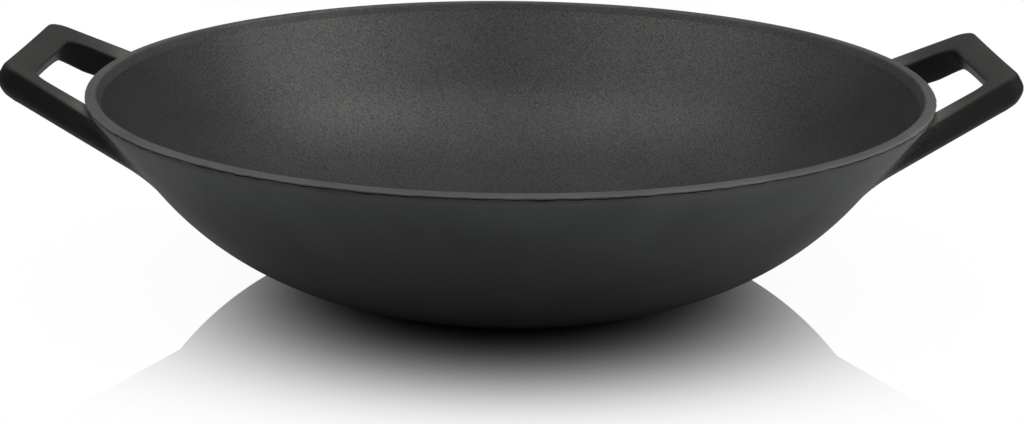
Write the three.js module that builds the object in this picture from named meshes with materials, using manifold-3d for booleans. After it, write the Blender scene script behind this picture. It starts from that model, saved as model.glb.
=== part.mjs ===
// Cast iron wok: a flat-bottomed bowl with a thickened rim and two loop handles.
// Millimetres, +Z up. The origin is the centre of the base, on the surface that the wok stands on,
// and the handles point along +X and -X.
// The real wok is poured as one casting. Here it is parted along its own feature lines:
// base, bowl, rim and one loop on each side.

import * as THREE from "three";
import { mergeVertices } from "three/addons/utils/BufferGeometryUtils.js";
import Module from "manifold-3d";

// Bowl
const RIM_RADIUS = 180;
const HEIGHT = 85.5;
const BASE_RADIUS = 80;
const BASE_THICKNESS = 5;
const WALL_THICKNESS = 4.5;

// The wall is a shallow cone below and a steep cone above, which would meet at the knee.
// A bend rounds the knee off.
const KNEE_RADIUS = 132.6;
const KNEE_HEIGHT = 22;
const BEND_RADIUS = 127;

// Rim
const RIM_HEIGHT = 3.5;
const RIM_OVERHANG = 1;
const RIM_EDGE_RADIUS = 1.2;

// Loop handles, in plan unless the line says otherwise
const GRIP_REACH = 28; // from the rim to the grip's outer face, at the top
const GRIP_LENGTH = 87.5; // along the grip's outer face
const GRIP_WIDTH = 12.6;
const GRIP_CORNER_RADIUS = 8;
const ARM_FLARE = THREE.MathUtils.degToRad(21); // outer sides, spreading towards the bowl
const WINDOW_LENGTH = 66; // along the grip's inner face
const WINDOW_FLARE = THREE.MathUtils.degToRad(13.7);
const WINDOW_CORNER_RADIUS = 7;
const ARM_DEPTH = 48; // from the rim to the arms' ends, which lie inside the wall
const HANDLE_SPREAD = THREE.MathUtils.degToRad(25.3); // between the loop's slope and the steep cone
const HANDLE_LEAN = THREE.MathUtils.degToRad(12); // the loop's sides, off the vertical
const HANDLE_LIFT = 1; // the loop's top face over the rim, where the two would cross
const HANDLE_THICKNESS = 11.5; // upright
const HANDLE_EDGE_RADIUS = 2.5;

// Gap left between a handle and the bowl that trims it
const FIT_GAP = 0.3;

// Fineness of the facets
const TURN_SIDES = 96;
const BEND_STEPS = 10;
const CORNER_STEPS = 3;
const EDGE_STEPS = 2;

const RIM_SEAT = HEIGHT - RIM_HEIGHT;
const GRIP_FACE = RIM_RADIUS + GRIP_REACH;
const WINDOW_FACE = GRIP_FACE - GRIP_WIDTH;
const ARM_END = RIM_RADIUS - ARM_DEPTH;

// The wall's section before its bend: foot, knee and top, as radius and height
const FOOT = new THREE.Vector2(BASE_RADIUS, 0);
const KNEE = new THREE.Vector2(KNEE_RADIUS, KNEE_HEIGHT);
const WALL_TOP = new THREE.Vector2(RIM_RADIUS - RIM_OVERHANG, RIM_SEAT);
const LOW_CONE = KNEE.clone().sub(FOOT);
const HIGH_CONE = WALL_TOP.clone().sub(KNEE);
const HANDLE_RISE = HIGH_CONE.angle() - HANDLE_SPREAD; // slope of the loop, up and out

const wasm = await Module();
wasm.setup();

// The wall's section as points of radius and height, rising from under the base to over the rim seat.
// depth is how far the line lies inside the wall's outer face.
function wallLine(depth) {
  const lowAngle = LOW_CONE.angle();
  const highAngle = HIGH_CONE.angle();
  const halfTurn = Math.tan((highAngle - lowAngle) / 2);
  const room = Math.min(LOW_CONE.length(), HIGH_CONE.length());
  const bend = Math.min(BEND_RADIUS, room / halfTurn);
  const inward = (angle) => new THREE.Vector2(-Math.sin(angle), Math.cos(angle));
  const along = (angle) => new THREE.Vector2(Math.cos(angle), Math.sin(angle));
  const centre = KNEE.clone()
    .addScaledVector(along(lowAngle), -bend * halfTurn)
    .addScaledVector(inward(lowAngle), bend);
  const start = FOOT.clone()
    .addScaledVector(inward(lowAngle), depth)
    .addScaledVector(along(lowAngle), -BASE_RADIUS);
  const end = WALL_TOP.clone()
    .addScaledVector(inward(highAngle), depth)
    .addScaledVector(along(highAngle), RIM_HEIGHT);
  const line = [start];
  for (let step = 0; step <= BEND_STEPS; step++) {
    const angle = THREE.MathUtils.lerp(lowAngle, highAngle, step / BEND_STEPS);
    line.push(centre.clone().addScaledVector(inward(angle), depth - bend));
  }
  line.push(end);
  return line;
}

// The point of a rising line at one height.
function pointAt(line, height) {
  const next = Math.max(1, line.findIndex((point) => point.y >= height));
  const [a, b] = [line[next - 1], line[next]];
  return a.clone().lerp(b, (height - a.y) / (b.y - a.y));
}

// The stretch of a rising line between two heights.
function stretch(line, low, high) {
  const inside = line.filter((point) => point.y > low && point.y < high);
  return [pointAt(line, low), ...inside, pointAt(line, high)];
}

// A closed outline through corners, each [x, y, radius], with an arc at each corner that has a radius.
function roundedOutline(corners) {
  const outline = new THREE.Shape();
  corners.forEach(([x, y, radius], i) => {
    const corner = new THREE.Vector2(x, y);
    const before = corners.at(i - 1);
    const after = corners[(i + 1) % corners.length];
    const back = new THREE.Vector2(before[0], before[1]).sub(corner).normalize();
    const on = new THREE.Vector2(after[0], after[1]).sub(corner).normalize();
    const half = Math.acos(back.dot(on)) / 2;
    const start = corner.clone().addScaledVector(back, radius / Math.tan(half));
    const end = corner.clone().addScaledVector(on, radius / Math.tan(half));
    if (i === 0) outline.moveTo(start.x, start.y);
    else outline.lineTo(start.x, start.y);
    if (radius === 0) return;
    const centre = corner
      .clone()
      .addScaledVector(back.clone().add(on).normalize(), radius / Math.sin(half));
    const from = start.sub(centre).angle();
    const to = end.sub(centre).angle();
    outline.absarc(centre.x, centre.y, radius, from, to, back.cross(on) > 0);
  });
  outline.closePath();
  return outline;
}

// A section of radius and height, turned round the upright axis.
function turned(section) {
  return new THREE.LatheGeometry(section, TURN_SIDES).rotateX(Math.PI / 2);
}

function solidOf(geometry) {
  const bare = new THREE.BufferGeometry();
  bare.setAttribute("position", geometry.getAttribute("position"));
  bare.setIndex(geometry.index);
  const merged = mergeVertices(bare);
  const mesh = new wasm.Mesh({
    numProp: 3,
    vertProperties: merged.getAttribute("position").array,
    triVerts: new Uint32Array(merged.index.array),
  });
  return new wasm.Manifold(mesh);
}

function geometryOf(solid) {
  const mesh = solid.getMesh();
  const geometry = new THREE.BufferGeometry();
  geometry.setAttribute("position", new THREE.BufferAttribute(mesh.vertProperties, 3));
  geometry.setIndex(new THREE.BufferAttribute(mesh.triVerts, 1));
  geometry.computeVertexNormals();
  return geometry;
}

// The flat disc that stands on the stove. The wall's lower cone starts at its edge.
function baseGeometry() {
  const side = stretch(wallLine(0), 0, BASE_THICKNESS);
  return turned([
    new THREE.Vector2(0, 0),
    ...side,
    new THREE.Vector2(0, BASE_THICKNESS),
  ]);
}

// The wall, seated on the base's top face and carrying the rim.
function bowlGeometry() {
  const outside = stretch(wallLine(0), BASE_THICKNESS, RIM_SEAT);
  const inside = stretch(wallLine(WALL_THICKNESS), BASE_THICKNESS, RIM_SEAT);
  return turned([...outside, ...inside.reverse(), outside[0]]);
}

// The thick band on top of the wall: flush with it inside, proud of it outside.
function rimGeometry() {
  const bore = pointAt(wallLine(WALL_THICKNESS), RIM_SEAT).x;
  const round = Math.min(RIM_EDGE_RADIUS, RIM_HEIGHT / 2, (RIM_RADIUS - bore) / 2);
  const section = roundedOutline([
    [bore, RIM_SEAT, 0],
    [RIM_RADIUS, RIM_SEAT, 0],
    [RIM_RADIUS, HEIGHT, round],
    [bore, HEIGHT, round],
  ]);
  return turned(section.getPoints(CORNER_STEPS));
}

// All that the bowl and rim take up, hollow included, with the fit gap round it.
function bowlEnvelope() {
  const seat = RIM_SEAT - FIT_GAP;
  const lip = RIM_RADIUS + FIT_GAP;
  const over = HEIGHT + HANDLE_LIFT + GRIP_REACH * Math.tan(HANDLE_RISE) + FIT_GAP;
  return turned([
    new THREE.Vector2(0, 0),
    ...stretch(wallLine(-FIT_GAP), 0, seat),
    new THREE.Vector2(lip, seat),
    new THREE.Vector2(lip, over),
    new THREE.Vector2(0, over),
  ]);
}

// Half widths of the loop and of its window, at a distance out from the bowl's axis.
function loopHalfWidth(x) {
  return GRIP_LENGTH / 2 + (GRIP_FACE - x) * Math.tan(ARM_FLARE);
}

function windowHalfWidth(x) {
  return WINDOW_LENGTH / 2 + (WINDOW_FACE - x) * Math.tan(WINDOW_FLARE);
}

// One loop: two arms and a grip bar, sloping up and out from the wall under the rim.
function handleGeometry() {
  const outline = roundedOutline([
    [ARM_END, -loopHalfWidth(ARM_END), 0],
    [GRIP_FACE, -loopHalfWidth(GRIP_FACE), GRIP_CORNER_RADIUS],
    [GRIP_FACE, loopHalfWidth(GRIP_FACE), GRIP_CORNER_RADIUS],
    [ARM_END, loopHalfWidth(ARM_END), 0],
    [ARM_END, windowHalfWidth(ARM_END), 0],
    [WINDOW_FACE, windowHalfWidth(WINDOW_FACE), WINDOW_CORNER_RADIUS],
    [WINDOW_FACE, -windowHalfWidth(WINDOW_FACE), WINDOW_CORNER_RADIUS],
    [ARM_END, -windowHalfWidth(ARM_END), 0],
  ]);
  const loop = new THREE.ExtrudeGeometry(outline, {
    depth: HANDLE_THICKNESS - 2 * HANDLE_EDGE_RADIUS,
    curveSegments: CORNER_STEPS,
    bevelThickness: HANDLE_EDGE_RADIUS,
    bevelSize: HANDLE_EDGE_RADIUS,
    bevelOffset: -HANDLE_EDGE_RADIUS,
    bevelSegments: EDGE_STEPS,
  });
  loop.translate(0, 0, HANDLE_EDGE_RADIUS - HANDLE_THICKNESS);
  const rise = Math.tan(HANDLE_RISE);
  const slope = new THREE.Matrix4().set(
    1, 0, -Math.tan(HANDLE_LEAN), 0,
    0, 1, 0, 0,
    rise, 0, 1, HEIGHT + HANDLE_LIFT - RIM_RADIUS * rise,
    0, 0, 0, 1,
  );
  loop.applyMatrix4(slope);
  return geometryOf(solidOf(loop).subtract(solidOf(bowlEnvelope())));
}

function piece(name, geometry, color, roughness) {
  const material = new THREE.MeshStandardMaterial({ color, roughness, metalness: 0.3 });
  const mesh = new THREE.Mesh(geometry, material);
  mesh.name = name;
  return mesh;
}

const wok = new THREE.Group();
wok.name = "cast_iron_wok";
wok.add(piece("base", baseGeometry(), 0x2a2a29, 0.75));
wok.add(piece("bowl", bowlGeometry(), 0x383937, 0.6));
wok.add(piece("rim", rimGeometry(), 0x5c5c5a, 0.5));

const loop = handleGeometry();
const rightHandle = piece("right_handle", loop, 0x3a3937, 0.62);
const leftHandle = piece("left_handle", loop, 0x3a3937, 0.62);
leftHandle.rotation.z = Math.PI;
wok.add(rightHandle, leftHandle);

export default wok;
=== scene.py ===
import math

import bpy
from mathutils import Euler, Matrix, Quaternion, Vector


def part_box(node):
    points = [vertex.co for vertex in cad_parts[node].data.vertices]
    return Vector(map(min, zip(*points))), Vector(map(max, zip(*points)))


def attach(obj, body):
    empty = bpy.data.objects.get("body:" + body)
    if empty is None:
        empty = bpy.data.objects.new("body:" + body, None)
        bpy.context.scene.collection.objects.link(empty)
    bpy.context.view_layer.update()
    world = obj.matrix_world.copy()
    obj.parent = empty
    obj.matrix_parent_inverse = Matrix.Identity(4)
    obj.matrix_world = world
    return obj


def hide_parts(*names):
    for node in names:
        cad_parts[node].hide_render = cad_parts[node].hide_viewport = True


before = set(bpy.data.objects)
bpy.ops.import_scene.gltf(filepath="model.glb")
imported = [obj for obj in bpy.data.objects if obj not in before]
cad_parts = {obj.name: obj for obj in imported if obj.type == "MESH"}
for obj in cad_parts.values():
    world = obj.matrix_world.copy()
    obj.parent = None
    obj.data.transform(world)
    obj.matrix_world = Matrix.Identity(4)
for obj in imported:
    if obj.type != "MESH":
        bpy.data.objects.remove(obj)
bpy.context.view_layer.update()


# Base: the flat disc that the wok stands on, cast in one with the wall. Its underside is rubbed a little
# by the stove. Inside, the floor is level and turns up into the wall in a wide sweep.
base_radius = 0.080
base_edge_round = 0.0012
base_sides = 360
edge_steps = 4
floor_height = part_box("base")[1].z
floor_ring_count = 8
floor_sweep = 0.090
sweep_steps = 24
wall_thickness = 0.0045
knee_radius = 0.1326
knee_height = 0.0215
seat_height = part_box("bowl")[1].z
wall_top_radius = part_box("bowl")[1].x
low_angle = math.atan2(knee_height, knee_radius - base_radius)
high_angle = math.atan2(seat_height - knee_height, wall_top_radius - knee_radius)


def arc(centre, radius, start, end, steps):
    """Points of radius and height on an arc, by the angle of its tangent: 0 is level, and it turns up."""
    for step in range(steps + 1):
        turn = start + (end - start) * step / steps
        yield centre[0] + radius * math.sin(turn), centre[1] - radius * math.cos(turn)


def low_cone(depth, height):
    """Radius of the wall's shallow cone at a height, at a depth inside the wall's outer face."""
    foot = base_radius - depth / math.sin(low_angle)
    return foot + height / math.tan(low_angle)


pebble_size = 0.00075
cloud_size = 0.03
grain_depth = 0.00004
grain_detail = 2.0
noise_middle = 0.5
grain_tone = 0.6
middle_tone = 0.5
cloud_tone = 0.35
glint_strength = 4.0


def grain_group():
    """Fine pebbled skin of sand-cast iron, as strong as a piece's seasoned attribute says.

    Puts out the skin's height and its tone.
    """
    group = bpy.data.node_groups.new("cast grain", "ShaderNodeTree")
    face = group.interface
    face.new_socket("Pebble size", in_out="INPUT", socket_type="NodeSocketFloat")
    face.new_socket("Cloud size", in_out="INPUT", socket_type="NodeSocketFloat")
    face.new_socket("Height", in_out="OUTPUT", socket_type="NodeSocketFloat")
    face.new_socket("Tone", in_out="OUTPUT", socket_type="NodeSocketFloat")
    node = group.nodes.new
    link = group.links.new
    entry = node("NodeGroupInput")
    leave = node("NodeGroupOutput")
    place = node("ShaderNodeTexCoord")

    def noise_of(size):
        scale = node("ShaderNodeMath")
        scale.operation = "DIVIDE"
        scale.inputs[0].default_value = 1.0
        link(entry.outputs[size], scale.inputs[1])
        made = node("ShaderNodeTexNoise")
        made.inputs["Detail"].default_value = grain_detail
        link(place.outputs["Object"], made.inputs["Vector"])
        link(scale.outputs[0], made.inputs["Scale"])
        centred = node("ShaderNodeMath")
        centred.operation = "SUBTRACT"
        centred.inputs[1].default_value = noise_middle
        link(made.outputs["Fac"], centred.inputs[0])
        return centred.outputs[0]

    seasoned = node("ShaderNodeAttribute")
    seasoned.attribute_name = "seasoned"
    height = node("ShaderNodeMath")
    height.operation = "MULTIPLY"
    link(noise_of("Pebble size"), height.inputs[0])
    link(seasoned.outputs["Fac"], height.inputs[1])
    link(height.outputs[0], leave.inputs["Height"])
    fine = node("ShaderNodeMath")
    fine.operation = "MULTIPLY_ADD"
    fine.inputs[1].default_value = grain_tone
    fine.inputs[2].default_value = middle_tone
    link(height.outputs[0], fine.inputs[0])
    tone = node("ShaderNodeMath")
    tone.operation = "MULTIPLY_ADD"
    tone.inputs[1].default_value = cloud_tone
    link(noise_of("Cloud size"), tone.inputs[0])
    link(fine.outputs[0], tone.inputs[2])
    link(tone.outputs[0], leave.inputs["Tone"])
    return group


cast_grain = grain_group()


def iron(name, black, bare, rough, smooth, dull, gloss):
    """Seasoned cast iron, black in the grain's hollows and where shade is painted, barer where it is rubbed
    and where light is painted.
    """
    material = bpy.data.materials.new(name)
    material.use_nodes = True
    node = material.node_tree.nodes.new
    link = material.node_tree.links.new
    shader = material.node_tree.nodes["Principled BSDF"]
    oiled = node("ShaderNodeAttribute")
    oiled.attribute_name = "seasoned"
    polish = node("ShaderNodeMapRange")
    polish.inputs["To Min"].default_value = rough
    polish.inputs["To Max"].default_value = smooth
    link(oiled.outputs["Fac"], polish.inputs["Value"])
    link(polish.outputs["Result"], shader.inputs["Roughness"])
    grain = node("ShaderNodeGroup")
    grain.node_tree = cast_grain
    grain.inputs["Pebble size"].default_value = pebble_size
    grain.inputs["Cloud size"].default_value = cloud_size
    sheen = node("ShaderNodeMapRange")
    sheen.inputs["To Min"].default_value = dull
    sheen.inputs["To Max"].default_value = gloss
    link(oiled.outputs["Fac"], sheen.inputs["Value"])
    glints = node("ShaderNodeMath")
    glints.operation = "MULTIPLY_ADD"
    glints.inputs[1].default_value = glint_strength
    glints.inputs[2].default_value = 1.0
    link(grain.outputs["Height"], glints.inputs[0])
    shine = node("ShaderNodeMath")
    shine.operation = "MULTIPLY"
    link(sheen.outputs["Result"], shine.inputs[0])
    link(glints.outputs[0], shine.inputs[1])
    link(shine.outputs[0], shader.inputs["Specular IOR Level"])
    # This attribute holds real wear together with painted light and shade: higher values make the iron
    # barer and lighter.
    wear_and_light = node("ShaderNodeAttribute")
    wear_and_light.attribute_name = "wear_and_light"
    patchy = node("ShaderNodeMath")
    patchy.operation = "MULTIPLY"
    link(wear_and_light.outputs["Fac"], patchy.inputs[0])
    link(grain.outputs["Tone"], patchy.inputs[1])
    skin = node("ShaderNodeMix")
    skin.data_type = "RGBA"
    skin.inputs["A"].default_value = (*black, 1.0)
    skin.inputs["B"].default_value = (*bare, 1.0)
    link(patchy.outputs[0], skin.inputs["Factor"])
    link(skin.outputs["Result"], shader.inputs["Base Color"])
    bump = node("ShaderNodeBump")
    bump.inputs["Strength"].default_value = 1.0
    bump.inputs["Distance"].default_value = grain_depth
    link(grain.outputs["Height"], bump.inputs["Height"])
    link(bump.outputs["Normal"], shader.inputs["Normal"])
    return material


ring_radius = 1.0
merge_distance = 1e-5
ragged_size = 0.006
ragged_detail = 4.0


def turning_tree():
    """Turns a section of radius and height round the upright axis, and roughens it where it says so."""
    tree = bpy.data.node_groups.new("turned iron", "GeometryNodeTree")
    face = tree.interface
    face.new_socket("Section", in_out="INPUT", socket_type="NodeSocketGeometry")
    face.new_socket("Sides", in_out="INPUT", socket_type="NodeSocketInt")
    face.new_socket("Ragged size", in_out="INPUT", socket_type="NodeSocketFloat")
    face.new_socket("Material", in_out="INPUT", socket_type="NodeSocketMaterial")
    face.new_socket("Turned", in_out="OUTPUT", socket_type="NodeSocketGeometry")
    node = tree.nodes.new
    link = tree.links.new
    entry = node("NodeGroupInput")
    leave = node("NodeGroupOutput")
    section = node("GeometryNodeMeshToCurve")
    link(entry.outputs["Section"], section.inputs["Mesh"])
    ring = node("GeometryNodeCurvePrimitiveCircle")
    ring.inputs["Radius"].default_value = ring_radius
    link(entry.outputs["Sides"], ring.inputs["Resolution"])
    sweep = node("GeometryNodeCurveToMesh")
    link(ring.outputs["Curve"], sweep.inputs["Curve"])
    link(section.outputs["Curve"], sweep.inputs["Profile Curve"])
    closed = node("GeometryNodeMergeByDistance")
    closed.inputs["Distance"].default_value = merge_distance
    link(sweep.outputs["Mesh"], closed.inputs["Geometry"])
    ragged = node("GeometryNodeInputNamedAttribute")
    ragged.data_type = "FLOAT"
    ragged.inputs["Name"].default_value = "ragged"
    fine = node("ShaderNodeMath")
    fine.operation = "DIVIDE"
    fine.inputs[0].default_value = 1.0
    link(entry.outputs["Ragged size"], fine.inputs[1])
    wobble = node("ShaderNodeTexNoise")
    wobble.inputs["Detail"].default_value = ragged_detail
    link(fine.outputs["Value"], wobble.inputs["Scale"])
    middle = node("ShaderNodeVectorMath")
    middle.operation = "SUBTRACT"
    middle.inputs[1].default_value = (noise_middle, noise_middle, noise_middle)
    link(wobble.outputs["Color"], middle.inputs[0])
    amount = node("ShaderNodeVectorMath")
    amount.operation = "SCALE"
    link(middle.outputs["Vector"], amount.inputs[0])
    link(ragged.outputs["Attribute"], amount.inputs["Scale"])
    rough = node("GeometryNodeSetPosition")
    link(closed.outputs["Geometry"], rough.inputs["Geometry"])
    link(amount.outputs["Vector"], rough.inputs["Offset"])
    smooth = node("GeometryNodeSetShadeSmooth")
    link(rough.outputs["Geometry"], smooth.inputs["Geometry"])
    real = node("GeometryNodeRealizeInstances")
    link(smooth.outputs["Geometry"], real.inputs["Geometry"])
    finish = node("GeometryNodeSetMaterial")
    link(real.outputs["Geometry"], finish.inputs["Geometry"])
    link(entry.outputs["Material"], finish.inputs["Material"])
    link(finish.outputs["Geometry"], leave.inputs["Turned"])
    return tree


turned_iron = turning_tree()
crease = math.radians(40)


def turned(name, section, closed, sides, material, marks):
    """A piece turned from its section: points of radius and height, with named values for each point."""
    count = len(section)
    drawing = bpy.data.meshes.new(name + " section")
    edges = [(i, i + 1) for i in range(count - 1)] + ([(count - 1, 0)] if closed else [])
    drawing.from_pydata([(radius - ring_radius, -height, 0.0) for radius, height in section], edges, [])
    for mark, shares in marks.items():
        drawing.attributes.new(mark, "FLOAT", "POINT").data.foreach_set("value", shares)
    piece = bpy.data.objects.new(name, drawing)
    bpy.context.scene.collection.objects.link(piece)
    turning = piece.modifiers.new("turning", "NODES")
    turning.node_group = turned_iron
    values = {"Sides": sides, "Ragged size": ragged_size, "Material": material}
    for socket in turned_iron.interface.items_tree:
        if socket.name in values:
            turning[socket.identifier] = values[socket.name]
    depsgraph = bpy.context.evaluated_depsgraph_get()
    made = bpy.data.meshes.new_from_object(piece.evaluated_get(depsgraph))
    piece.modifiers.remove(turning)
    piece.data = made
    made.name = name
    made.set_sharp_from_angle(angle=crease)
    return piece


inside = 1.0
outside = 0.10
inside_rub = 0.37
sole_rub = 0.5
base_iron = iron(
    "base iron",
    black=(0.0116, 0.0120, 0.0118),
    bare=(0.156, 0.168, 0.169),
    rough=0.65,
    smooth=0.35,
    dull=0.04,
    gloss=0.25,
)
inner_foot = low_cone(wall_thickness, floor_height)
sweep_start = inner_foot - floor_sweep * math.tan(low_angle / 2)
sweep_centre = (sweep_start, floor_height + floor_sweep)
floor_rings = [sweep_start * ring / floor_ring_count for ring in range(floor_ring_count)]
base_section = [(radius, floor_height) for radius in floor_rings]
base_section += arc(sweep_centre, floor_sweep, 0, low_angle / 2, sweep_steps)
base_seasoned = [inside] * len(base_section)
base_rub = [inside_rub] * len(base_section)
edge_heights = [floor_height * step / edge_steps for step in range(edge_steps, 0, -1)]
edge_heights.append(base_edge_round / 4)
base_section += [(low_cone(0, height), height) for height in edge_heights]
base_section.append((base_radius - base_edge_round / 2, 0.0))
base_rub += [0.0] * (len(base_section) - len(base_rub))
base_section += [(radius, 0.0) for radius in reversed(floor_rings)]
base_rub += [sole_rub] * len(floor_rings)
base_seasoned += [outside] * (len(base_section) - len(base_seasoned))
base_marks = {"seasoned": base_seasoned, "wear_and_light": base_rub}
base = turned("wok_base", base_section, False, base_sides, base_iron, base_marks)
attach(base, "root")
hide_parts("base")


# Bowl: the wall, a shallow cone below and a steep one above, with a wide bend between them. It is cast with
# the base and left with the sand's fine pebbled skin, then seasoned black inside and out.
bend_radius = 0.127
bend_steps = 30
bend_tangent = bend_radius * math.tan((high_angle - low_angle) / 2)
bend_centre = (
    knee_radius - bend_tangent * math.cos(low_angle) - bend_radius * math.sin(low_angle),
    knee_height - bend_tangent * math.sin(low_angle) + bend_radius * math.cos(low_angle),
)


def high_cone(depth, height):
    """Radius of the wall's steep cone at a height, at a depth inside the wall's outer face."""
    top = wall_top_radius - depth / math.sin(high_angle)
    return top - (seat_height - height) / math.tan(high_angle)


def wall_radius(height):
    """Radius of the wall's outer face at a height."""
    low_end = bend_centre[1] - bend_radius * math.cos(low_angle)
    high_end = bend_centre[1] - bend_radius * math.cos(high_angle)
    if height < low_end:
        return low_cone(0, height)
    if height > high_end:
        return high_cone(0, height)
    return bend_centre[0] + math.sqrt(bend_radius**2 - (bend_centre[1] - height) ** 2)


def spaced(start, end, steps):
    """Points between two others, without the ends."""
    for step in range(1, steps):
        share = step / steps
        yield tuple(a + (b - a) * share for a, b in zip(start, end))


bowl_iron = iron(
    "bowl iron",
    black=(0.0116, 0.0120, 0.0118),
    bare=(0.156, 0.168, 0.169),
    rough=0.62,
    smooth=0.35,
    dull=0.04,
    gloss=0.25,
)
# Outside, the wall is painted lighter towards the rim as painted light and left black towards the base as
# painted shade, with a narrow strip of painted light just under the rim.
wall_painted_light = 1.0
wall_light_power = 1.3
wall_top_painted_light = 0.12
wall_top_light_power = 9
top_loss = 0.11
top_loss_power = 3
inner_low_steps = 3
inner_high_steps = 14
outer_low_steps = 4
outer_high_steps = 12
outer_bend = list(arc(bend_centre, bend_radius, low_angle, high_angle, bend_steps))
inner_bend = list(arc(bend_centre, bend_radius - wall_thickness, low_angle, high_angle, bend_steps))
floor_bend = list(arc(sweep_centre, floor_sweep, low_angle / 2, low_angle, sweep_steps))
outer_foot = (low_cone(0, floor_height), floor_height)
outer_top = (wall_top_radius, seat_height)
inner_top = (high_cone(wall_thickness, seat_height), seat_height)
bowl_section = [*floor_bend, *spaced(floor_bend[-1], inner_bend[0], inner_low_steps), *inner_bend]
bowl_section += [*spaced(inner_bend[-1], inner_top, inner_high_steps), inner_top]
bowl_seasoned = [inside] * len(bowl_section)
bowl_wear_and_light = [inside_rub - top_loss * (height / seat_height) ** top_loss_power for _, height in bowl_section]
outer_face = [outer_top, *spaced(outer_top, outer_bend[-1], outer_high_steps), *reversed(outer_bend)]
outer_face += [*spaced(outer_bend[0], outer_foot, outer_low_steps), outer_foot]
# Outside points: painted light rising to the rim, painted shade towards the base.
for _, height in outer_face:
    level = height / seat_height
    bowl_wear_and_light.append(wall_painted_light * level**wall_light_power + wall_top_painted_light * level**wall_top_light_power)
bowl_section += outer_face
bowl_seasoned += [outside] * len(outer_face)
bowl_marks = {"seasoned": bowl_seasoned, "wear_and_light": bowl_wear_and_light}
bowl = turned("wok_bowl", bowl_section, True, base_sides, bowl_iron, bowl_marks)
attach(bowl, "root")
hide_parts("bowl")


# Rim: the thick band on top of the wall, ground level and a little crowned. Outside, it stands proud as a
# narrow lip, with the casting's ragged parting line in its shadow.
rim_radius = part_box("rim")[1].x
rim_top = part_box("rim")[1].z
rim_sides = 1440
mouth_bevel = 0.0019
slope_steps = 5
mouth_oil = 0.3
crown_oil = 0.05
rim_iron = iron(
    "rim iron",
    black=(0.0116, 0.0120, 0.0118),
    bare=(0.245, 0.253, 0.253),
    rough=0.62,
    smooth=0.35,
    dull=0.04,
    gloss=0.25,
)
mouth = (inner_top[0] + mouth_bevel, rim_top)
rim_slope = [inner_top, *spaced(inner_top, mouth, slope_steps), mouth]
rim_crown = [
    (mouth[0] + 0.00025, rim_top + 0.00018),
    (mouth[0] + 0.00055, rim_top + 0.00030),
    (mouth[0] + 0.00090, rim_top + 0.00037),
    (mouth[0] + 0.00130, rim_top + 0.00040),
    (rim_radius - 0.00210, rim_top + 0.00037),
    (rim_radius - 0.00150, rim_top + 0.00029),
    (rim_radius - 0.00090, rim_top + 0.00016),
    (rim_radius - 0.00050, rim_top + 0.00002),
    (rim_radius - 0.00020, rim_top - 0.00016),
    (rim_radius - 0.00005, rim_top - 0.00037),
]
rim_lip = [
    (rim_radius, rim_top - 0.00060),
    (rim_radius - 0.00005, rim_top - 0.00077),
    (rim_radius - 0.00030, rim_top - 0.00084),
]
rim_slot = [
    (rim_radius - 0.00060, rim_top - 0.00087),
    (rim_radius - 0.00060, rim_top - 0.00105),
]
rim_foot = [
    (rim_radius - 0.00020, rim_top - 0.00113),
    (rim_radius - 0.00012, rim_top - 0.00140),
    (rim_radius - 0.00030, rim_top - 0.00220),
    outer_top,
]
rim_section = rim_slope + rim_crown + rim_lip + rim_slot + rim_foot
rim_marks = {
    "seasoned": [inside] * len(rim_slope)
    + [mouth_oil]
    + [crown_oil] * (len(rim_crown) - 1)
    + [outside] * len(rim_lip + rim_slot + rim_foot),
    # Inner slope: painted lighter, to hide the step in shade where it meets the bowl.
    "wear_and_light": [0.38, 0.41, 0.42, 0.42, 0.42, 0.43]
    # Crown: ground bare by wear; its outer edge is lighter still, as edge wear with a painted highlight.
    + [0.50, 0.60, 0.67, 0.67, 0.66, 0.67, 0.72, 0.84, 1.05, 1.3]
    # Lip: edge wear with a painted highlight at its edge, painted shade on its underside.
    + [1.2, 0.75, 0.25]
    # Slot: painted dark, as shade under the lip.
    + [0.1, 0.1]
    # Foot: painted a little darker near the slot, as shade under the lip.
    + [0.70, 0.76, 0.82, 0.86],
    "ragged": [0.0] * len(rim_slope)
    + [0.0, 0.0, 0.0, 0.0, 0.0, 0.0, 0.0, 0.0002, 0.0003, 0.0005]
    + [0.0008, 0.0010, 0.0008]
    + [0.0004, 0.0006]
    + [0.0024, 0.0018, 0.0006, 0.0],
}
rim = turned("wok_rim", rim_section, True, rim_sides, rim_iron, rim_marks)
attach(rim, "root")
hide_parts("rim")


# Handles: a loop of iron on each side, cast with the wall. Two arms spread from a straight grip to the wall
# under the rim, and flow into it at the sides and below. The whole loop slopes up and out.
grip_face = 0.2079
grip_length = 0.0875
window_face = 0.1967
window_length = 0.072
arm_flare = math.radians(21)
window_flare = math.radians(13.7)
grip_corner = 0.009
window_corner = 0.0115
handle_rise = math.radians(27)
handle_lean = math.radians(12)
handle_lift = 0.0012
grip_thickness = 0.0119
root_thickness = 0.0102
grip_top_round = 0.0032
corner_top_round = 0.0022
arm_top_round = 0.0014
round_reach = 0.028
outer_foot_round = 0.0028
window_top_round = 0.0016
window_foot_round = 0.0026
grip_undercut = 0.0042
end_undercut = 0.0065
corner_undercut = 0.0030
window_dip = 0.0010
window_sag = 0.0010
corner_sag = 0.0018
sag_reach = 0.020
arm_undercut = 0.0010
crown = 0.0004
belly = 0.0016
belly_drop = 1.5
side_flow = 0.0100
foot_flow = 0.0090
window_flow = 0.0060
root_inset = 0.0002
straight_share = 0.35
# The loop's colour by the way each face turns: the top is rubbed and painted lighter, as lit from above;
# the sides and the window faces are painted darker, as shade.
top_wear_and_light = 0.47
side_wear_and_shade = 0.05
window_painted_shade = 0.03
# The window's top edge is lighter, as edge wear with a painted highlight; the outer top edge is painted
# darker, as shade.
edge_wear_and_highlight = 0.55
outer_edge_painted_shade = -0.05
foot_rub = 0.05
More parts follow.
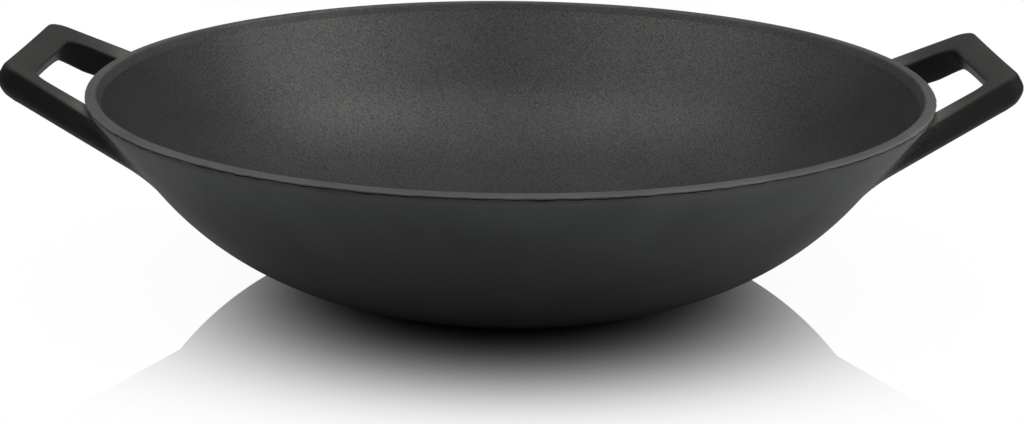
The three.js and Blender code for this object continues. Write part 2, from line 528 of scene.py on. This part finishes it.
# Towards the wall each arm grows lighter, most on its top: a rubbed root, with painted light to meet the
# wall's painted lighter top.
root_wear_and_light = 1.2
root_power = 3
side_share = 0.35
grip_grain = 0.2
root_grain = 1.0
arm_reach = 0.080
arm_samples = 80
arm_step = arm_reach / arm_samples
grip_steps = 20
corner_steps = 10
arm_steps = 22
flow_steps = 12
round_steps = 6
face_steps = 6


def grip_plan(face, length, flare, corner):
    """Half of an edge of the loop in plan: points of the grip and its corner, and the arm's direction."""
    turn = math.pi / 2 - flare
    straight = length / 2 - corner * math.tan(turn / 2)
    centre = Vector((face - corner, straight))
    points = [Vector((face, straight * step / grip_steps)) for step in range(grip_steps)]
    for step in range(corner_steps + 1):
        angle = turn * step / corner_steps
        points.append(centre + corner * Vector((math.cos(angle), math.sin(angle))))
    return points, Vector((-math.cos(flare), math.sin(flare)))


def handle_ring(outer, window, top_round, undercut, sag, thickness):
    """Ring round the loop between its two edges in plan.

    Each point has its place, the way that it faces, the loop's way across, and its wear with painted light
    and shade.
    """
    across = window - outer
    width = across.length
    across = across / width
    corners = [
        (Vector((0.0, 0.0)), top_round, outer_edge_painted_shade),
        (Vector((width, -window_dip)), window_top_round, edge_wear_and_highlight),
        (Vector((width - undercut, -thickness - sag)), window_foot_round, 0.0),
        (Vector((0.0, -thickness)), outer_foot_round, foot_rub),
    ]
    shares = [step / round_steps for step in range(round_steps + 1)]
    arcs = []
    for i, (corner, radius, wear_and_light) in enumerate(corners):
        back = (corners[i - 1][0] - corner).normalized()
        on = (corners[(i + 1) % len(corners)][0] - corner).normalized()
        half = back.angle(on) / 2
        middle = corner + (back + on).normalized() * radius / math.sin(half)
        start = (corner + back * radius / math.tan(half) - middle) / radius
        end = (corner + on * radius / math.tan(half) - middle) / radius
        ways = [start.slerp(end, share) for share in shares]
        edge_wear_and_light = [wear_and_light * math.sin(math.pi * share) ** 2 for share in shares]
        arcs.append([(middle + radius * way, way, worn_and_lit) for way, worn_and_lit in zip(ways, edge_wear_and_light)])
    ring = []
    for i, bend in enumerate(arcs):
        ring += bend
        here, way, _ = bend[-1]
        there = arcs[(i + 1) % len(arcs)][0][0]
        ring += [(here.lerp(there, step / face_steps), way, 0.0) for step in range(1, face_steps)]
    made = []
    for point, way, wear_and_light in ring:
        swell = crown * max(0.0, way.y) * (1 - (2 * point.x / width - 1) ** 2)
        depth = max(0.0, -point.y / thickness) ** belly_drop
        bulge = belly * max(0.0, -way.x) * (1 - (2 * depth - 1) ** 2) ** 2
        plan = outer + across * (point.x - bulge)
        # Painted light by facing: lighter where the face turns up, darker on the sides and in the window.
        side = side_wear_and_shade + (window_painted_shade - side_wear_and_shade) * max(0.0, way.x)
        wear_and_light += side + (top_wear_and_light - side) * max(0.0, way.y) ** 2
        made.append((Vector((*plan, point.y + swell)), way, across, wear_and_light))
    return made


def sloped(point):
    """A point of the level loop, leaning and sloping as the cast one does."""
    lean = point.z * math.tan(handle_lean)
    rise = (point.x - rim_radius) * math.tan(handle_rise)
    return Vector((point.x - lean, point.y, point.z + rise + rim_top + handle_lift))


def side_radius(height):
    """Radius of the wok's outside at a height: the wall's, and the rim's above it."""
    if height < seat_height:
        return wall_radius(height)
    foot, bulge = rim_foot[-1], rim_foot[-2]
    share = min(1.0, (height - foot[1]) / (bulge[1] - foot[1]))
    return foot[0] + (bulge[0] - foot[0]) * share


def wall_gap(point):
    """Distance of a point outside the wall and rim, level."""
    return math.hypot(point.x, point.y) - side_radius(point.z)


def wall_way(point):
    """Outward direction of the wall beside a point."""
    step = 0.0005
    slope = math.atan2(2 * step, wall_radius(point.z + step) - wall_radius(point.z - step))
    plan = Vector((point.x, point.y)).normalized() * math.sin(slope)
    return Vector((*plan, -math.cos(slope)))


def on_wall(point, depth):
    """The place on the wall level with a point, at a depth inside it."""
    radius = side_radius(point.z) - depth
    plan = Vector((point.x, point.y)).normalized() * radius
    return Vector((*plan, point.z))


def flow_length(way):
    """How far a side of the arm flows out over the wall, by the way that it faces."""
    side = window_flow if way.x > 0 else side_flow
    return side * way.x**2 + (foot_flow if way.y < 0 else 0.0) * way.y**2


def grip_rings(outer, window):
    """Rings of half of the grip, from its middle round its corner, between its two edges in plan."""
    rings = []
    for step, (outer_point, window_point) in enumerate(zip(outer, window)):
        share = max(0.0, (step - grip_steps) / corner_steps)
        along = min(1.0, step / grip_steps) ** 2
        undercut = grip_undercut + (end_undercut - grip_undercut) * along
        undercut += (arm_undercut - end_undercut) * share
        undercut += corner_undercut * math.sin(math.pi * share) ** 2
        sag = window_sag + corner_sag * along
        top_round = grip_top_round + (corner_top_round - grip_top_round) * share
        ring = handle_ring(outer_point, window_point, top_round, undercut, sag, grip_thickness)
        rings.append([(sloped(point), wear_and_light, grip_grain) for point, _, _, wear_and_light in ring])
    return rings


def arm_rings(outer, outer_way, window, window_way):
    """Rings of an arm at even steps from the grip's corner, still level, and on past the wall."""
    rings = []
    for step in range(arm_samples + 1):
        length = arm_reach * step / arm_samples
        thickness = grip_thickness + (root_thickness - grip_thickness) * length / arm_reach
        sag = window_sag + corner_sag * max(0.0, 1 - length / sag_reach) ** 2
        left = max(0.0, 1 - length / round_reach)
        top_round = arm_top_round + (corner_top_round - arm_top_round) * left
        edges = (outer + outer_way * length, window + window_way * length)
        rings.append(handle_ring(*edges, top_round, arm_undercut, sag, thickness))
    return rings


def arm_line(arm, spot):
    """Line along an arm through one spot of its rings, into the wall: points with their wear and painted
    light, and their grain.
    """
    track = [sloped(ring[spot][0]) for ring in arm]
    gaps = [wall_gap(point) for point in track]
    past = next(step for step, gap in enumerate(gaps) if gap < 0)
    share = gaps[past - 1] / (gaps[past - 1] - gaps[past])
    meet = track[past - 1].lerp(track[past], share)
    _, way, across, wear_and_light = arm[past][spot]
    out = wall_way(meet)
    facing = Vector((*(across * way.x), min(0.0, way.y)))
    flow = flow_length(way)
    over = (facing - facing.dot(out) * out).normalized() if flow > 0 else Vector()
    reached = past - 1 + share
    back = max(straight_share * reached, reached - max(flow, root_inset) / arm_step)
    start = track[int(back)].lerp(track[int(back) + 1], back - int(back))
    end = on_wall(meet + over * flow, root_inset)
    line = [track[0].lerp(start, step / arm_steps) for step in range(1, arm_steps + 1)]
    for step in range(1, flow_steps + 1):
        share = step / flow_steps
        line.append(start.lerp(meet, share).lerp(meet.lerp(end, share), share))
    # Lighter towards the root, most where the face turns up: wear with painted light.
    worn_and_lit = [min(1.0, (step + 1) / arm_steps) ** root_power for step in range(len(line))]
    wear_and_light_values = [wear_and_light + root_wear_and_light * share * max(side_share, way.y) ** 2 for share in worn_and_lit]
    grains = [grip_grain + (root_grain - grip_grain) * share for share in worn_and_lit]
    return list(zip(line, wear_and_light_values, grains))


def half_loop():
    """Half of the loop as rings, from the middle of the grip to inside the wall."""
    outer, outer_way = grip_plan(grip_face, grip_length, arm_flare, grip_corner)
    window, window_way = grip_plan(window_face, window_length, window_flare, window_corner)
    arm = arm_rings(outer[-1], outer_way, window[-1], window_way)
    lines = [arm_line(arm, spot) for spot in range(len(arm[0]))]
    return grip_rings(outer, window) + list(zip(*lines))


def handle(name, turn, material):
    """One loop, turned about the wok's axis to its side, with both ends closed inside the wall."""
    half = half_loop()
    mirror = Vector((1.0, -1.0, 1.0))
    mirrored = [[(point * mirror, wear_and_light, grain) for point, wear_and_light, grain in ring] for ring in half[1:]]
    rings = mirrored[::-1] + half
    points, wear_and_light_values, grains = [], [], []
    for ring in rings:
        for point, wear_and_light, grain in ring:
            points.append(Vector((point.x * turn, point.y * turn, point.z)))
            wear_and_light_values.append(wear_and_light)
            grains.append(grain)
    count = len(rings[0])
    last = (len(rings) - 1) * count
    pairs = [(spot, (spot + 1) % count) for spot in range(count)]
    faces = []
    for near in range(0, last, count):
        far = near + count
        faces += [(near + here, far + here, far + there, near + there) for here, there in pairs]
    for first in (0, last):
        points.append(sum(points[first:first + count], Vector()) / count)
        wear_and_light_values.append(0.0)
        grains.append(root_grain)
        for here, there in pairs:
            edge = (first + here, first + there) if first == 0 else (first + there, first + here)
            faces.append((len(points) - 1, *edge))
    mesh = bpy.data.meshes.new(name)
    mesh.from_pydata(points, [], faces)
    mesh.shade_smooth()
    mesh.attributes.new("wear_and_light", "FLOAT", "POINT").data.foreach_set("value", wear_and_light_values)
    mesh.attributes.new("seasoned", "FLOAT", "POINT").data.foreach_set("value", grains)
    mesh.materials.append(material)
    piece = bpy.data.objects.new(name, mesh)
    bpy.context.scene.collection.objects.link(piece)
    return piece


handle_iron = iron(
    "handle iron",
    black=(0.0112, 0.0116, 0.0116),
    bare=(0.162, 0.160, 0.153),
    rough=0.60,
    smooth=0.55,
    dull=0.10,
    gloss=0.12,
)
for node, turn in (("right_handle", 1), ("left_handle", -1)):
    loop = handle("wok_" + node, turn, handle_iron)
    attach(loop, "root")
    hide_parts(node)


# Floor: a plain white sheet with a polished top. It mirrors the wok close to its base, and the mirror image
# and the shadow fade to white away from it.
floor_half = 4.0
floor_drop = 0.0002
fade_start = 0.068
side_length = 0.098
front_length = 0.0902
side_power = 2.20
front_power = 3.68
floor_polish = 0.95
floor_grey = 0.55
pure_white = (1.0, 1.0, 1.0, 1.0)

floor_mesh = bpy.data.meshes.new("floor")
corners = [(x * floor_half, y * floor_half, -floor_drop) for x, y in ((-1, -1), (1, -1), (1, 1), (-1, 1))]
floor_mesh.from_pydata(corners, [], [(0, 1, 2, 3)])
floor = bpy.data.objects.new("floor", floor_mesh)
bpy.context.scene.collection.objects.link(floor)


def white_seen(tree, kind):
    """1 for rays that show the white surroundings: the camera's, those through glass, and one more kind."""
    path = tree.nodes.new("ShaderNodeLightPath")
    seen = tree.nodes.new("ShaderNodeMath")
    seen.operation = "MAXIMUM"
    tree.links.new(path.outputs["Is Camera Ray"], seen.inputs[0])
    tree.links.new(path.outputs[kind], seen.inputs[1])
    both = tree.nodes.new("ShaderNodeMath")
    both.operation = "MAXIMUM"
    tree.links.new(seen.outputs[0], both.inputs[0])
    tree.links.new(path.outputs["Is Transmission Ray"], both.inputs[1])
    return both.outputs[0]


def floor_white():
    """White floor that mirrors the wok beside its base, and fades to plain white away from it."""
    material = bpy.data.materials.new("polished white floor")
    material.use_nodes = True
    tree = material.node_tree
    tree.nodes.clear()
    node = tree.nodes.new
    link = tree.links.new
    leave = node("ShaderNodeOutputMaterial")
    place = node("ShaderNodeTexCoord")
    flat = node("ShaderNodeVectorMath")
    flat.operation = "MULTIPLY"
    flat.inputs[1].default_value = (1.0, 1.0, 0.0)
    link(place.outputs["Object"], flat.inputs[0])
    radius = node("ShaderNodeVectorMath")
    radius.operation = "LENGTH"
    link(flat.outputs["Vector"], radius.inputs[0])
    way = node("ShaderNodeVectorMath")
    way.operation = "NORMALIZE"
    link(flat.outputs["Vector"], way.inputs[0])
    parts = node("ShaderNodeSeparateXYZ")
    link(way.outputs["Vector"], parts.inputs[0])
    forward = node("ShaderNodeMath")
    forward.operation = "MULTIPLY"
    link(parts.outputs["Y"], forward.inputs[0])
    link(parts.outputs["Y"], forward.inputs[1])
    reach = node("ShaderNodeMapRange")
    reach.inputs["To Min"].default_value = fade_start + side_length
    reach.inputs["To Max"].default_value = fade_start + front_length
    link(forward.outputs[0], reach.inputs["Value"])
    away = node("ShaderNodeMapRange")
    away.clamp = False
    away.inputs["From Min"].default_value = fade_start
    link(reach.outputs["Result"], away.inputs["From Max"])
    link(radius.outputs["Value"], away.inputs["Value"])
    beyond = node("ShaderNodeMath")
    beyond.operation = "MAXIMUM"
    beyond.inputs[1].default_value = 0.0
    link(away.outputs["Result"], beyond.inputs[0])
    power = node("ShaderNodeMapRange")
    power.inputs["To Min"].default_value = side_power
    power.inputs["To Max"].default_value = front_power
    link(forward.outputs[0], power.inputs["Value"])
    steep = node("ShaderNodeMath")
    steep.operation = "POWER"
    link(beyond.outputs[0], steep.inputs[0])
    link(power.outputs["Result"], steep.inputs[1])
    left = node("ShaderNodeMath")
    left.operation = "POWER"
    left.inputs[0].default_value = 1 / math.e
    link(steep.outputs[0], left.inputs[1])
    white = node("ShaderNodeMapRange")
    white.inputs["From Min"].default_value = 1.0
    white.inputs["From Max"].default_value = 0.0
    link(left.outputs[0], white.inputs["Value"])
    glow = node("ShaderNodeEmission")
    glow.inputs["Color"].default_value = pure_white
    mirror = node("ShaderNodeBsdfGlossy")
    mirror.inputs["Roughness"].default_value = 0.0
    mirror.inputs["Color"].default_value = pure_white
    lit = node("ShaderNodeBsdfDiffuse")
    lit.inputs["Color"].default_value = (floor_grey, floor_grey, floor_grey, 1.0)
    near = node("ShaderNodeMixShader")
    near.inputs[0].default_value = floor_polish
    link(lit.outputs[0], near.inputs[1])
    link(mirror.outputs[0], near.inputs[2])
    seen = node("ShaderNodeMixShader")
    link(white.outputs[0], seen.inputs[0])
    link(near.outputs[0], seen.inputs[1])
    link(glow.outputs[0], seen.inputs[2])
    mix = node("ShaderNodeMixShader")
    link(white_seen(tree, "Is Glossy Ray"), mix.inputs[0])
    link(lit.outputs[0], mix.inputs[1])
    link(seen.outputs[0], mix.inputs[2])
    link(mix.outputs[0], leave.inputs["Surface"])
    return material


floor_mesh.materials.append(floor_white())


# Studio: soft lamps round and over the wok, and the camera at the photograph's place. The room is dim, and
# white where it is seen straight or in the floor's polish.
room_level = 0.05
room = bpy.data.worlds.new("plain room")
room.use_nodes = True
bpy.context.scene.world = room
dim = room.node_tree.nodes["Background"]
dim.inputs["Color"].default_value = pure_white
dim.inputs["Strength"].default_value = room_level
backdrop = room.node_tree.nodes.new("ShaderNodeBackground")
backdrop.inputs["Color"].default_value = pure_white
backdrop.inputs["Strength"].default_value = 1.0
around = room.node_tree.nodes.new("ShaderNodeMixShader")
room.node_tree.links.new(white_seen(room.node_tree, "Is Singular Ray"), around.inputs[0])
room.node_tree.links.new(dim.outputs[0], around.inputs[1])
room.node_tree.links.new(backdrop.outputs[0], around.inputs[2])
room.node_tree.links.new(around.outputs[0], room.node_tree.nodes["World Output"].inputs["Surface"])


lamp_colour = (1.0, 0.985, 0.955)
lamp_distance = 1.3
lamp_size = 0.7
lamp_aim = Vector((0.0, 0.0, 0.05))


def lamp(name, place, aim, size, power):
    """A square soft lamp, aimed at a point."""
    data = bpy.data.lights.new(name, "AREA")
    data.shape = "SQUARE"
    data.size = size
    data.energy = power
    data.color = lamp_colour
    made = bpy.data.objects.new(name, data)
    bpy.context.scene.collection.objects.link(made)
    made.location = place
    made.rotation_mode = "QUATERNION"
    made.rotation_quaternion = (Vector(aim) - Vector(place)).to_track_quat("-Z", "Y")


for name, side, up, power in (
    ("right softbox", 105, 50, 4.2),
    ("right softbox top", 90, 60, 2.9),
    ("right overhead", 75, 72, 1.8),
    ("left softbox", -105, 50, 2.1),
    ("left softbox top", -90, 60, 2.0),
    ("left overhead", -75, 72, 2.3),
    ("overhead", 0, 90, 1.3),
    ("front left fill", -45, 65, 1.2),
    ("front right fill", 45, 65, 0.75),
    ("back left fill", -135, 40, 0.7),
    ("back right fill", 135, 40, 0.6),
    ("back fill", 180, 65, 0.5),
):
    turn, rise = math.radians(side), math.radians(up)
    way = Vector((math.sin(turn) * math.cos(rise), -math.cos(turn) * math.cos(rise), math.sin(rise)))
    lamp(name, lamp_aim + lamp_distance * way, lamp_aim, lamp_size, power)

reflector_place = (0.62, -0.22, 0.20)
reflector_aim = (0.15, -0.09, 0.08)
reflector_size = 0.16
reflector_power = 0.65
lamp("right reflector", reflector_place, reflector_aim, reflector_size, reflector_power)

camera_tilt = math.radians(73.077)
camera_roll = math.radians(0.56)
camera_data = bpy.data.cameras.new("camera")
camera = bpy.data.objects.new("camera", camera_data)
bpy.context.scene.collection.objects.link(camera)
bpy.context.scene.camera = camera
camera_data.lens = 68.53
camera.location = (0.00105, -0.8214, 0.2755)
camera.rotation_mode = "QUATERNION"
tilt = Euler((camera_tilt, 0.0, 0.0)).to_quaternion()
camera.rotation_quaternion = tilt @ Quaternion((0.0, 0.0, 1.0), camera_roll)

bpy.context.scene.view_settings.view_transform = "Standard"
